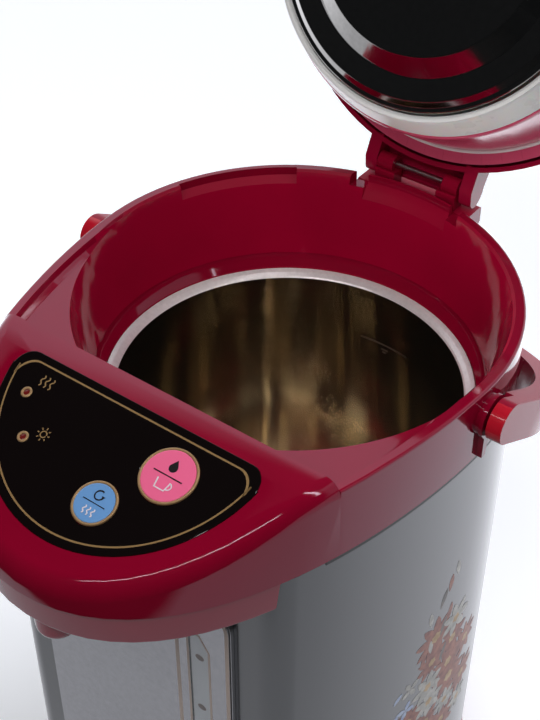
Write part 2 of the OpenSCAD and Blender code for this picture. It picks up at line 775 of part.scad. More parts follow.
module lid_ring() {
    color(white_soft) at_open() translate([0, 0, mouth_z]) difference() {
        intersection() {
            rotate_extrude($fn = 144) polygon([[80.9, 3.2], [82.6, 2.2], [83.6, 1.9],
                [84.6, 3.2], [87, 9], [89.9, 15], [89.9, 15.8], [70, 15.8], [70, 13.1], [80.9, 13.1]]);
            swing_room();
        }
        for (a = [30 : 60 : 330]) rotate(a) translate([plate_screw_r, 0, 5]) cylinder(h = 20, r = 1.6);
    }
}

module lid_seal() {
    color("#f1eeea") at_open() translate([0, 0, mouth_z]) intersection() {
        rotate_extrude($fn = 144) polygon([[80.9, 2.9], [80.9, 1.9], [82.2, 0.5], [83.7, 0.5],
            [83.8, 1.2], [82.8, 1.6], [82.2, 2.1]]);
        swing_room();
    }
}

module lid_plate() {
    color(steel) at_open() translate([0, 0, mouth_z]) difference() {
        rotate_extrude($fn = 144) polygon([[0, -7.2], [54.8, -7.2], [64.4, -1], [75.3, -2],
            [76.9, -0.7], [79.3, -0.7], [plate_r, -0.1], [plate_r, 7.9], [plate_r - 0.8, 7.9],
            [plate_r - 0.8, 0.1], [76.7, 0.1], [75.1, -1.2], [64.1, -0.2], [54.5, -6.4], [0, -6.4]]);
        for (a = [0 : 60 : 300]) rotate(a) translate([12, 0, -12]) cylinder(h = 6, r = 1.5);
        translate([0, 0, -12]) cylinder(h = 6, r = 1.3);
    }
}

module steam_valve() {
    color(white_soft) at_open() translate([0, 0, mouth_z]) rotate_extrude() polygon([[0, -10],
        [4.5, -10], [6, -9], [6.5, -7.3], [1.2, -7.3], [1.2, -6.3], [6, -6.3], [6, 40], [0, 44]]);
}

module lid_screws() {
    color(steel) at_open() translate([0, 0, mouth_z]) for (a = [30 : 60 : 330]) rotate(a)
        translate([plate_screw_r, 0, drum_low - 4.6]) {
            cylinder(h = 1.7, r = 3);
            cylinder(h = 10, r = 1.5);
        }
}

module lid_lever() {
    color(burgundy_dark) at_open() translate([0, 0, mouth_z]) difference() {
        union() {
            across(-20.4, 20.4, [[-79.6, 63.8], [-75, 64], [-53, 67.6], [-53, 70], [-66, 69.4],
                [-79.6, 66.6]]);
            pin_x(-20.4, 20.4, -77, 64.2, 2.6);
        }
        pin_x(-30, 30, -77, 64.2, 1.28 + fit);
    }
}

module lever_pin() {
    color(steel) at_open() translate([0, 0, mouth_z]) pin_x(-22.2, 22.2, -77, 64.2, 1.28);
}

module hinge_pin() {
    color(steel) pin_x(-29.5, 29.5, hinge_back, hinge_z, 1.5);
}

// The bail is drawn level, at_handle() drops it to rest.
// plan of the bail as a ring segment between two radii
module bail_plan(r0, r1) {
    s0 = handle_reach - bail_r;
    polygon(concat([for (a = [0 : 4 : 180]) [r1 * cos(a), s0 + r1 * sin(a)]], [[-r1, 0], [-r0, 0]],
        [for (a = [180 : -4 : 0]) [r0 * cos(a), s0 + r0 * sin(a)]], [[r0, 0], [r1, 0]]));
}

module at_handle() {
    translate([0, pivot_y, pivot_z]) rotate([-handle_drop, 0, 0]) children();
}

// a channel open to below, ribbed across, with a round hub at each end
module handle_bail() {
    s0 = handle_reach - bail_r;
    inner = bail_r + 2.4;
    outer = bail_r + bail_w - 2.4;
    color(burgundy) at_handle() difference() {
        union() {
            difference() {
                translate([0, 0, -bail_half]) linear_extrude(2 * bail_half)
                    bail_plan(bail_r, bail_r + bail_w);
                translate([0, 0, -bail_half - 1]) linear_extrude(2 * bail_half - bail_top + 1)
                    intersection() {
                        bail_plan(inner, outer);
                        translate([-130, 13]) square([260, 200]);
                    }
            }
            for (a = [8 : 16.4 : 173]) translate([0, s0 - 2, 0]) rotate(a)
                box([inner - 1.4, outer + 0.9], [-0.9, 0.9], [-bail_half + 3, bail_half - 1]);
            mirrored() pin_x(hub_in, bail_r + bail_w, 0, 0, bail_half);
        }
        mirrored() pin_x(100, hub_in + 4.6, 0, 0, 4 + fit);
        mirrored() box([100, hub_in], [-20, 11.5], [-12, 12]);
    }
}

body_shell();
front_panel();
gauge_window();
gauge_tube();
gauge_back();
collar();
nose_cover();
spout();
control_plate();
lamp_lenses();
control_board();
tact_switches();
dispense_button();
reboil_button();
inner_pot();
pot_gasket();
heater_plate();
band_heater();
thermostat();
pump();
pump_motor();
inlet_hose();
riser_hose();
outlet_hose();
mains_board();
base_ring();
bottom_plate();
base_screws();
mains_inlet();
inlet_pins();
nose_screws();
hinge_pin();
turntable();
turntable_screw();
turntable_feet();
handle_bail();
lid_shell();
lid_liner();
lid_ring();
lid_seal();
lid_plate();
steam_valve();
lid_screws();
lid_lever();
lever_pin();
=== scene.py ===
import json
import math
import bpy
import bmesh
from mathutils import Matrix, Vector


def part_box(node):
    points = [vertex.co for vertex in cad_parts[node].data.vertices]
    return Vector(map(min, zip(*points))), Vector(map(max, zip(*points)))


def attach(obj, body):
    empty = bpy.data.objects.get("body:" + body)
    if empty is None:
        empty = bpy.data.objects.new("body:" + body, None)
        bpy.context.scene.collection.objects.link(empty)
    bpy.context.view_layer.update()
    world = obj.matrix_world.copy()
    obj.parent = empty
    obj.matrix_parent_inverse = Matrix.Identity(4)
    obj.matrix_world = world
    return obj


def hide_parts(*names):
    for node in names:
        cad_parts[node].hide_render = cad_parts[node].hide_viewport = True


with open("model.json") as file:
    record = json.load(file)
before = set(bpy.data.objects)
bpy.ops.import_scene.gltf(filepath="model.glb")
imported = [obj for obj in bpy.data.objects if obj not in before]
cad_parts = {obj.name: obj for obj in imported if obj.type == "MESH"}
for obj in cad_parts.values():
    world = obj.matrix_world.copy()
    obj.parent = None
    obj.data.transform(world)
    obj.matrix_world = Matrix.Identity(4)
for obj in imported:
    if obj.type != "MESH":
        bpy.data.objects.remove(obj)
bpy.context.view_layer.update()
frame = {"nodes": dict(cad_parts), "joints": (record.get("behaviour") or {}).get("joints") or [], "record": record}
nodes = frame["nodes"]
bodyOf = {n: b for b, group in frame["record"]["behaviour"]["bodies"].items() for n in group}
slotOf = {p["node"]: p["material_slot"] for p in frame["record"]["subparts"]}
scene = bpy.context.scene
mm = 0.001


# places worked out from the frame

# in millimetres; the heights are over the pot's mouth
pot = {"hingeUp": 61, "rimUp": 56, "seamUp": 19, "shellGap": 0.5}
joints = {j["name"]: j for j in frame["joints"]}
jointAt = {name: Vector(j.get("pos_m", (0, 0, 0))) for name, j in joints.items()}
hinge = jointAt["lid_hinge"]
lidOpen = math.radians(joints["lid_hinge"]["range_deg"][1])
panelTilt = math.asin(Vector(joints["dispense_press"]["axis"]).y)
mouthZ = hinge.z - pot["hingeUp"] * mm
rimZ = mouthZ + pot["rimUp"] * mm
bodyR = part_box("body_shell")[1].x + pot["shellGap"] * mm
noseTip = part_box("collar")[0].y


def lidPlace():
    # from the closed lid, with its zero at the pot's mouth, to the open one
    turn = Matrix.Rotation(-lidOpen, 4, "X")
    return Matrix.Translation(hinge) @ turn @ Matrix.Translation(Vector((0, 0, mouthZ)) - hinge)


# in millimetres: the top over the pot's mouth, the bend forward of the pot's middle
nose = {"top": 60, "bendFrom": 98, "bendTo": 106}


def noseTop(y):
    # height of the nose's upper face: level, then bending down into the slope
    past = -y / mm - nose["bendFrom"]
    bend = nose["bendTo"] - nose["bendFrom"]
    fall = 0 if past < 0 else past ** 2 / 2 / bend if past < bend else past - bend / 2
    return mouthZ + (nose["top"] - fall * math.tan(panelTilt)) * mm


def onPanel(x, y, lift=0.0):
    # X right, Y up the slope, Z out of the plate
    return (Matrix.Translation((x, y, noseTop(y))) @ Matrix.Rotation(panelTilt, 4, "X")
            @ Matrix.Translation((0, 0, lift)))


# mesh helpers

def newPiece(name, bm, body, slot, *materials, smooth=30, replaces=()):
    mesh = bpy.data.meshes.new(name)
    bm.normal_update()
    bm.to_mesh(mesh)
    bm.free()
    for m in materials:
        mesh.materials.append(m)
    piece = bpy.data.objects.new(name, mesh)
    scene.collection.objects.link(piece)
    if smooth:
        for p in mesh.polygons:
            p.use_smooth = True
        mesh.set_sharp_from_angle(angle=math.radians(smooth))
    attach(piece, body)
    if replaces:
        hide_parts(*replaces)
    return piece


def spun(profile, steps, closed):
    # a profile in radius and height, turned about Z
    bm = bmesh.new()
    verts = [bm.verts.new((r, 0, z)) for r, z in profile]
    edges = [bm.edges.new(p) for p in zip(verts, verts[1:])]
    if closed:
        edges.append(bm.edges.new((verts[-1], verts[0])))
    bmesh.ops.spin(bm, geom=verts + edges, cent=(0, 0, 0), axis=(0, 0, 1), angle=2 * math.pi,
                   steps=steps, use_merge=True, use_normal_flip=False)
    bmesh.ops.remove_doubles(bm, verts=bm.verts, dist=1e-6)
    bmesh.ops.dissolve_degenerate(bm, edges=bm.edges, dist=1e-7)
    bmesh.ops.recalc_face_normals(bm, faces=bm.faces)
    return bm


def rounded(points, fillets, steps=4):
    # the profile with a soft curve in place of each point that has a fillet radius
    share = 0.48  # the most of a side that one curve takes
    out = []
    for i, p in enumerate(points):
        r = fillets.get(i, 0)
        if not r:
            out.append(p)
            continue
        a, b, c = Vector(points[i - 1]), Vector(p), Vector(points[(i + 1) % len(points)])
        u, v = (a - b).normalized(), (c - b).normalized()
        half = u.angle(v) / 2
        d = min(r / math.tan(half), (a - b).length * share, (c - b).length * share)
        for k in range(steps + 1):
            t = k / steps
            q = (b + u * d) * (1 - t) ** 2 + b * 2 * t * (1 - t) + (b + v * d) * t ** 2
            out.append(tuple(q))
    return out


def turned(profile, fillets, place, steps=128, closed=False):
    # a profile in millimetres with its corners rounded, spun and put in its place
    bm = spun([(r * mm, z * mm) for r, z in rounded(profile, fillets)], steps, closed)
    bmesh.ops.transform(bm, matrix=place, verts=bm.verts)
    return bm


# materials

def shaderOf(m):
    return m.node_tree.nodes["Principled BSDF"]


def newMaterial(name, color, rough, metallic=0.0, **sockets):
    m = bpy.data.materials.new(name)
    m.use_nodes = True
    m.diffuse_color = (*color, 1)
    s = shaderOf(m)
    s.inputs["Base Color"].default_value = (*color, 1)
    s.inputs["Roughness"].default_value = rough
    s.inputs["Metallic"].default_value = metallic
    for k, v in sockets.items():
        s.inputs[k.replace("_", " ")].default_value = v
    return m


def add(m, kind, **values):
    n = m.node_tree.nodes.new(kind)
    for k, v in values.items():
        if hasattr(n, k):
            setattr(n, k, v)
        else:
            n.inputs[k.replace("_", " ")].default_value = v
    return n


def link(m, a, b):
    m.node_tree.links.new(a, b)


def objectSpace(m, scale=(1, 1, 1)):
    place = add(m, "ShaderNodeTexCoord")
    mapping = add(m, "ShaderNodeMapping")
    mapping.inputs["Scale"].default_value = scale
    link(m, place.outputs["Object"], mapping.inputs["Vector"])
    return mapping.outputs["Vector"]


def mapped(m, source, fromLow, fromHigh, toLow, toHigh):
    # a value carried over from one range to another
    n = add(m, "ShaderNodeMapRange")
    n.inputs["From Min"].default_value, n.inputs["From Max"].default_value = fromLow, fromHigh
    n.inputs["To Min"].default_value, n.inputs["To Max"].default_value = toLow, toHigh
    link(m, source, n.inputs["Value"])
    return n.outputs["Result"]


def tone(m, source, low, high, lowColor, highColor):
    # the base colour runs from one tone to the other
    ramp = add(m, "ShaderNodeValToRGB")
    ramp.color_ramp.elements[0].position, ramp.color_ramp.elements[1].position = low, high
    ramp.color_ramp.elements[0].color = (*lowColor, 1)
    ramp.color_ramp.elements[1].color = (*highColor, 1)
    link(m, source, ramp.inputs["Fac"])
    link(m, ramp.outputs["Color"], shaderOf(m).inputs["Base Color"])


def grain(m, vector, scale, detail, rough=0.55):
    n = add(m, "ShaderNodeTexNoise")
    n.inputs["Scale"].default_value, n.inputs["Detail"].default_value = scale, detail
    n.inputs["Roughness"].default_value = rough
    link(m, vector, n.inputs["Vector"])
    return n.outputs["Fac"]


def roughFrom(m, source, low, high):
    link(m, mapped(m, source, 0, 1, low, high), shaderOf(m).inputs["Roughness"])


def bumpFrom(m, source, depth, strength):
    b = add(m, "ShaderNodeBump")
    b.inputs["Strength"].default_value, b.inputs["Distance"].default_value = strength, depth
    link(m, source, b.inputs["Height"])
    link(m, b.outputs["Normal"], shaderOf(m).inputs["Normal"])


plastic = {"cloud": 18, "gloss": 60, "skin": 900, "dark": 0.94, "pale": 1.05, "bump": 0.15}
sheet = {"lines": 400, "dark": 0.9, "pale": 1.06, "bump": 0.3}


def moulded(name, color, rough, spread=0.08, ripple=0.00003, **sockets):
    # moulded plastic: slight clouding of colour, uneven gloss and a faint orange skin
    m = newMaterial(name, color, rough, IOR=1.5, **sockets)
    v = objectSpace(m)
    tone(m, grain(m, v, plastic["cloud"], 2), 0.3, 0.7, [c * plastic["dark"] for c in color],
         [min(1, c * plastic["pale"]) for c in color])
    roughFrom(m, grain(m, v, plastic["gloss"], 4), rough - spread / 2, rough + spread / 2)
    bumpFrom(m, grain(m, v, plastic["skin"], 2), ripple, plastic["bump"])
    return m


def metalSheet(name, color, rough, metallic=1.0, streak=(1, 1, 1), spread=0.08, depth=0.000004,
               **sockets):
    # metal with fine lines that carry its tone, gloss and bump
    m = newMaterial(name, color, rough, metallic=metallic, **sockets)
    lines = grain(m, objectSpace(m, streak), sheet["lines"], 4)
    tone(m, lines, 0.25, 0.75, [c * sheet["dark"] for c in color],
         [min(1, c * sheet["pale"]) for c in color])
    roughFrom(m, lines, rough - spread / 2, rough + spread / 2)
    bumpFrom(m, lines, depth, sheet["bump"])
    return m


# how deep each skin's bump goes, in metres
deep = {"gloss": 8e-6, "black": 5e-6, "print": 2e-6, "milky": 1e-5, "polish": 4e-7, "paint": 1e-7}
crimson = moulded("crimson plastic", (0.265, 0.002, 0.021), 0.06, 0.02, deep["gloss"],
                  Specular_Tint=(1.0, 0.84, 1.0, 1))
crimsonDark = moulded("deep crimson plastic", (0.33, 0.012, 0.04), 0.07, 0.02, deep["gloss"])
# a copy of the crimson plastic with a dull, weak sheen and its own base colour, laid on the hinge's ledge, the
# rim's inner slope and the bail's top to hold back their reflections: painted shade
crimsonShade = moulded("hinge crimson plastic with painted shade", (0.34, 0.002, 0.027), 0.45, 0.05, deep["gloss"],
                      Specular_IOR_Level=0.15)
# a paler copy of the crimson plastic for the inside of the well: painted light
crimsonWellLit = moulded("well crimson plastic with painted light", (0.40, 0.002, 0.031), 0.08, 0.02, deep["gloss"])
crimsonLid = moulded("lid crimson plastic", (0.30, 0.004, 0.03), 0.09, 0.03, deep["gloss"])
# a pale pink copy of the crimson plastic for the lid's drum and the ribs under its brim: painted light
crimsonDrumLit = moulded("drum crimson plastic with painted light", (0.68, 0.08, 0.17), 0.24, 0.06, deep["gloss"],
                      Coat_Weight=1.0, Coat_Roughness=0.2)
crimsonBail = moulded("bail crimson plastic", (0.36, 0.005, 0.032), 0.22, 0.05, deep["gloss"],
                      Specular_IOR_Level=0.22)
capRed = moulded("bright red cap", (0.60, 0.012, 0.03), 0.12, 0.04, deep["gloss"])
bodyPaint = metalSheet("grey satin paint", (0.026, 0.031, 0.038), 0.19, 0.2, spread=0.03,
                       depth=deep["paint"], IOR=2.2)
panelPaint = metalSheet("light grey satin paint", (0.40, 0.40, 0.42), 0.18, 0.75, spread=0.03,
                        depth=deep["paint"])
beigePaint = moulded("beige print", (0.66, 0.52, 0.44), 0.35, 0.06, deep["print"])
stripPaint = moulded("pale gauge sheet", (0.95, 0.94, 0.95), 0.3, 0.06, deep["print"])
ballPaint = moulded("brown marks", (0.20, 0.12, 0.085), 0.35, 0.06, deep["print"])
blackGloss = moulded("black glossy sheet", (0.006, 0.004, 0.004), 0.07, 0.03, deep["black"])
goldInk = metalSheet("gold print", (0.50, 0.30, 0.12), 0.42, 0.6)
goldTrim = metalSheet("gold trim", (0.56, 0.34, 0.16), 0.42, 0.55)
inkDark = moulded("dark ink", (0.012, 0.008, 0.01), 0.35, 0.05, deep["print"])
inkPale = moulded("pale ink", (0.80, 0.70, 0.74), 0.4, 0.05, deep["print"])
pinkPlastic = moulded("pink button", (0.98, 0.15, 0.31), 0.3)
bluePlastic = moulded("blue button", (0.15, 0.34, 0.66), 0.3)
lampRed = moulded("lamp red", (0.16, 0.01, 0.008), 0.15)
potSteel = metalSheet("drawn pot steel", (0.80, 0.70, 0.54), 0.11, 0.97, streak=(3, 3, 0.01),
                      spread=0.04, depth=deep["paint"], Anisotropic=0.85,
                      Anisotropic_Rotation=0.25)
around = add(potSteel, "ShaderNodeTangent", direction_type="RADIAL", axis="Z")
link(potSteel, around.outputs["Tangent"], shaderOf(potSteel).inputs["Tangent"])

# painted shade: the pot's wall darkens towards the mouth
wall = {"unshadedBelow": 120, "shadeFullAbove": 30, "paintedShade": 0.28}
steelTone = shaderOf(potSteel).inputs["Base Color"].links[0].from_socket
height = add(potSteel, "ShaderNodeSeparateXYZ")
link(potSteel, objectSpace(potSteel), height.inputs[0])
paintedShade = mapped(potSteel, height.outputs["Z"], mouthZ - wall["unshadedBelow"] * mm,
              mouthZ - wall["shadeFullAbove"] * mm, 1.0, wall["paintedShade"])
shadedSteelTone = add(potSteel, "ShaderNodeVectorMath", operation="SCALE")
link(potSteel, steelTone, shadedSteelTone.inputs[0])
link(potSteel, paintedShade, shadedSteelTone.inputs["Scale"])
link(potSteel, shadedSteelTone.outputs["Vector"], shaderOf(potSteel).inputs["Base Color"])

# the raised mark's steel is darker than the pot's own steel: painted shade
levelSteelShaded = metalSheet("raised mark steel with painted shade", (0.20, 0.17, 0.13), 0.4, 0.9, spread=0.03,
                        depth=deep["paint"])
rimSteel = metalSheet("satin flange steel", (0.92, 0.86, 0.85), 0.3, 0.35, spread=0.05)
plateSteel = metalSheet("polished lid steel", (0.52, 0.51, 0.49), 0.09, depth=deep["polish"],
                        spread=0.03)
plainSteel = metalSheet("plain steel", (0.55, 0.55, 0.55), 0.3)
castAlloy = metalSheet("cast alloy", (0.45, 0.45, 0.46), 0.45)
milkySilicone = moulded("milky silicone", (0.90, 0.87, 0.84), 0.28, 0.06, deep["milky"],
                        Subsurface_Weight=0.3, Subsurface_Scale=0.01)
milkyLip = moulded("milky lip", (0.86, 0.85, 0.84), 0.3, 0.06, deep["milky"])
whitePlastic = moulded("white plastic", (0.75, 0.75, 0.73), 0.35)
blackPlastic = moulded("black plastic", (0.02, 0.02, 0.021), 0.45)
blackRubber = moulded("black rubber", (0.018, 0.018, 0.018), 0.75)
boardGreen = moulded("board green", (0.02, 0.12, 0.05), 0.4)
micaBand = moulded("mica band", (0.30, 0.24, 0.12), 0.5)
hoseSilicone = moulded("hose silicone", (0.72, 0.70, 0.66), 0.4)
clearPlastic = newMaterial("clear plastic", (0.9, 0.93, 0.95), 0.05, Transmission_Weight=1.0,
                           IOR=1.49)


def brushed(name, low, high, rough=0.4):
    # a soft hand-painted print: two tones drifting into each other
    m = newMaterial(name, low, rough, metallic=0.25)
    v = objectSpace(m)
    tone(m, grain(m, v, 210, 4), 0.35, 0.65, low, high)
    roughFrom(m, grain(m, v, 300, 2), rough - 0.05, rough + 0.08)
    return m


sprigRed = brushed("sprig red", (0.19, 0.06, 0.05), (0.36, 0.14, 0.095))
sprigWhite = brushed("sprig white", (0.30, 0.295, 0.27), (0.54, 0.52, 0.48))
sprigBlue = brushed("sprig blue", (0.30, 0.37, 0.55), (0.50, 0.57, 0.72))
sprigGold = brushed("sprig gold", (0.38, 0.24, 0.11), (0.56, 0.40, 0.22))
sprigLeaf = brushed("sprig leaf", (0.11, 0.10, 0.095), (0.17, 0.14, 0.125))

finish = {
    "body_shell": bodyPaint, "front_panel": panelPaint, "gauge_window": clearPlastic,
    "gauge_tube": clearPlastic, "gauge_back": whitePlastic, "collar": crimson,
    "nose_cover": crimsonDark, "spout": crimsonDark, "control_plate": blackGloss,
    "lamp_lenses": goldTrim, "control_board": boardGreen, "tact_switches": blackPlastic,
    "dispense_button": pinkPlastic, "reboil_button": bluePlastic, "inner_pot": potSteel,
    "pot_gasket": milkySilicone, "heater_plate": castAlloy, "band_heater": micaBand,
    "thermostat": whitePlastic, "pump": whitePlastic, "pump_motor": plainSteel,
    "inlet_hose": hoseSilicone, "riser_hose": hoseSilicone, "outlet_hose": hoseSilicone,
    "mains_board": boardGreen, "base_ring": crimson, "bottom_plate": blackPlastic,
    "base_screws": plainSteel, "mains_inlet": blackPlastic, "inlet_pins": plainSteel,
    "nose_screws": plainSteel, "hinge_pin": plainSteel, "turntable": blackPlastic,
    "turntable_screw": plainSteel, "turntable_feet": blackRubber, "handle_bail": crimsonBail,
    "lid_shell": crimsonLid, "lid_liner": crimsonDrumLit, "lid_ring": milkySilicone,
    "lid_seal": milkySilicone, "lid_plate": plateSteel, "steam_valve": whitePlastic,
    "lid_screws": plainSteel, "lid_lever": crimsonDark, "lever_pin": plainSteel,
}
for name, material in finish.items():
    data = nodes[name].data
    data.materials.clear()
    data.materials.append(material)
print("materials set")


# moulded and pressed parts with their edges eased: width in millimetres, segments

easedParts = {
    "collar": (0.35, 3), "nose_cover": (0.9, 3), "spout": (0.4, 2), "control_plate": (0.15, 2),
    "body_shell": (0.2, 2), "front_panel": (0.4, 2), "base_ring": (0.8, 3),
    "handle_bail": (1.0, 4), "lid_shell": (0.35, 2), "lid_liner": (0.5, 2),
    "lid_lever": (0.4, 2), "turntable": (0.4, 2), "mains_inlet": (0.3, 2),
    "steam_valve": (0.3, 2), "gauge_window": (0.15, 2), "turntable_feet": (0.4, 2),
    "bottom_plate": (0.3, 2),
}
easing = {"merge": 2e-6, "flat": 0.4, "sharp": 32, "smooth": 28}  # metres, then degrees


def eased(name, width, segments):
    # a copy of a CAD node, merged and with its edges eased, takes the node's place
    bm = bmesh.new()
    bm.from_mesh(nodes[name].data)
    bmesh.ops.remove_doubles(bm, verts=bm.verts, dist=easing["merge"])
    bmesh.ops.dissolve_limit(bm, angle_limit=math.radians(easing["flat"]), verts=bm.verts,
                             edges=bm.edges, use_dissolve_boundaries=False, delimit=set())
    limit = math.radians(easing["sharp"])
    sharp = [e for e in bm.edges if e.is_manifold and e.calc_face_angle(0) > limit]
    bmesh.ops.bevel(bm, geom=sharp, offset=width * mm, segments=segments, affect="EDGES",
                    profile=0.5, material=-1, clamp_overlap=True, offset_type="OFFSET")
    piece = newPiece(name + "_eased", bm, bodyOf[name], slotOf[name], finish[name],
                     smooth=easing["smooth"], replaces=(name,))
    piece.modifiers.new("even shading", "WEIGHTED_NORMAL").keep_sharp = True
    return piece


easedPieces = {name: eased(name, *values) for name, values in easedParts.items()}

# lengths in millimetres; side and up say how far a face turns that way, from 0 to 1
bailFaces = {"side": 0.5, "up": 0.75}
collarFaces = {
    "wall": 5.2, "underRim": 0.4, "wellUp": 0.35, "slopeUp": 0.93, "slopeFrom": 40,
    "outerEdge": 1.5, "ledgeHalf": 14, "ledgeDepth": 13, "ledgeUp": 0.5,
}


def bailMaterial(p):
    # 1 on the front of the hubs; 2 on top, a copy with its sheen dulled as painted shade
    if p.center.y < jointAt["handle_swing"].y and abs(p.normal.x) < bailFaces["side"]:
        return 1
    return 2 if p.normal.z > bailFaces["up"] else 0


def collarMaterial(p):
    # 1 inside the well, a paler copy of the plastic as painted light; 2 on the hinge's ledge and the rim's inner
    # slope, a copy with its sheen dulled as painted shade
    c, out, up = collarFaces, p.center.xy.length, p.normal.z
    ledge = (abs(p.center.x) < c["ledgeHalf"] * mm and up > c["ledgeUp"]
             and p.center.y > hinge.y - c["ledgeDepth"] * mm)
    slope = (p.center.y > 0 and out < bodyR - c["outerEdge"] * mm
             and c["wellUp"] < up < c["slopeUp"])
    if ledge or slope and p.center.z > mouthZ + c["slopeFrom"] * mm:
        return 2
    inside = out < bodyR - c["wall"] * mm and up < c["wellUp"]
    return 1 if inside and p.center.z < rimZ - c["underRim"] * mm else 0


for name, extra, choose in (("handle_bail", (capRed, crimsonShade), bailMaterial),
                            ("collar", (crimsonWellLit, crimsonShade), collarMaterial)):
    mesh = easedPieces[name].data
    for material in extra:
        mesh.materials.append(material)
    for p in mesh.polygons:
        p.material_index = choose(p)
print("eased parts made")


# control plate: gold line, icons, buttons and lamps

plate = {
    "rearY": -104, "radius": 67, "centreY": -101, "midY": -136, "corner": 8, "cornerLong": 9,
    "cornerIn": 9.5, "line": 3.3, "lineWidth": 0.75, "proud": 0.18, "ink": 0.06,
}


def plateOutline(d, steps=96):
    # the plate's edge drawn in by d, in millimetres on the slope
    k = 1 / math.cos(panelTilt)
    r, rear = plate["radius"] - d, plate["rearY"] - d
    corner, long = plate["corner"], plate["cornerLong"]
    start = math.asin((-plate["centreY"] + plate["rearY"] - corner) / r)
    out = []
    for i in range(steps + 1):
        t = math.pi - start + i * (math.pi + 2 * start) / steps
        out.append((r * math.cos(t), (plate["centreY"] + r * math.sin(t)) * k))
    for side in (1, -1):
        for j in range(9):
            t = math.radians(90 * j / 8 + (0 if side > 0 else 90))
            out.append((side * (r - plate["cornerIn"]) + corner * math.cos(t),
                        (rear - long + long * math.sin(t)) * k))
    return out


def onSlope(lift):
    return onPanel(0, plate["midY"] * mm, lift) @ Matrix.Translation(
        (0, -plate["midY"] / math.cos(panelTilt) * mm, 0))


def ribbon(outer, inner, place, thick):
    # a flat closed band between two outlines, in millimetres
    bm = bmesh.new()
    rings = []
    for line, z in ((outer, 0), (outer, thick), (inner, thick), (inner, 0)):
        rings.append([bm.verts.new((x * mm, y * mm, z * mm)) for x, y in line])
    n = len(outer)
    for a, b in zip(rings, rings[1:] + rings[:1]):
        for i in range(n):
            j = (i + 1) % n
            bm.faces.new((a[i], a[j], b[j], b[i]))
    bmesh.ops.transform(bm, matrix=place, verts=bm.verts)
    bmesh.ops.recalc_face_normals(bm, faces=bm.faces)
    return bm


lineOut = plateOutline(plate["line"])
lineIn = plateOutline(plate["line"] + plate["lineWidth"])
newPiece("plate_gold_line", ribbon(lineOut, lineIn, onSlope(plate["proud"] * mm), plate["ink"]),
         "housing", "gold_trim", goldInk, smooth=0)


def stroke(bm, points, width, place, thick):
    # a flat line of one width through points in millimetres
    pts = [Vector(p) for p in points]
    last = len(pts) - 1
    left, right = [], []
    for i, p in enumerate(pts):
        along = (pts[min(i + 1, last)] - pts[max(i - 1, 0)]).normalized()
        aside = Vector((-along.y, along.x)) * width / 2
        left.append(p + aside)
        right.append(p - aside)
    slab(bm, left + right[::-1], place, thick)


def slab(bm, outline, place, thick):
    # a thin flat shape standing on the place
    low = [bm.verts.new(place @ Vector((x * mm, y * mm, 0))) for x, y in outline]
    high = [bm.verts.new(place @ Vector((x * mm, y * mm, thick * mm))) for x, y in outline]
    n = len(outline)
    bm.faces.new(high)
    bm.faces.new(low[::-1])
    for i in range(n):
        j = (i + 1) % n
        bm.faces.new((low[i], low[j], high[j], high[i]))


def join(bm, other):
    mesh = bpy.data.meshes.new("part")
    other.to_mesh(mesh)
    other.free()
    bm.from_mesh(mesh)
    bpy.data.meshes.remove(mesh)


def arc(cx, cy, r, start, end, steps=16, squeeze=1.0):
    return [(cx + r * math.cos(math.radians(start + (end - start) * i / steps)),
             cy + squeeze * r * math.sin(math.radians(start + (end - start) * i / steps)))
            for i in range(steps + 1)]


def wave(x, y, height, swing, turns=1.5, steps=14):
    return [(x + swing * math.sin(2 * math.pi * turns * i / steps), y + height * i / steps)
            for i in range(steps + 1)]


def dropShape(cx, cy, r):
    return [(cx, cy + 1.9 * r)] + arc(cx, cy, r, 30, -210, 24)


buttons = {
    "dispense_button": {"at": (30, -123.5), "r": 12.8, "paint": pinkPlastic,
                        "slot": "pink_button"},
    "reboil_button": {"at": (10.5, -146.5), "r": 10.0, "paint": bluePlastic,
                      "slot": "blue_button"},
}
# in millimetres on a button of radius fullR; only the bar shrinks with the button
icon = {"lift": 0.93, "fullR": 12.8, "bar": 7.2, "barDown": 0.3, "barWidth": 0.55,
        "line": 0.55, "bold": 0.7, "thick": 0.08, "barThick": 0.09}


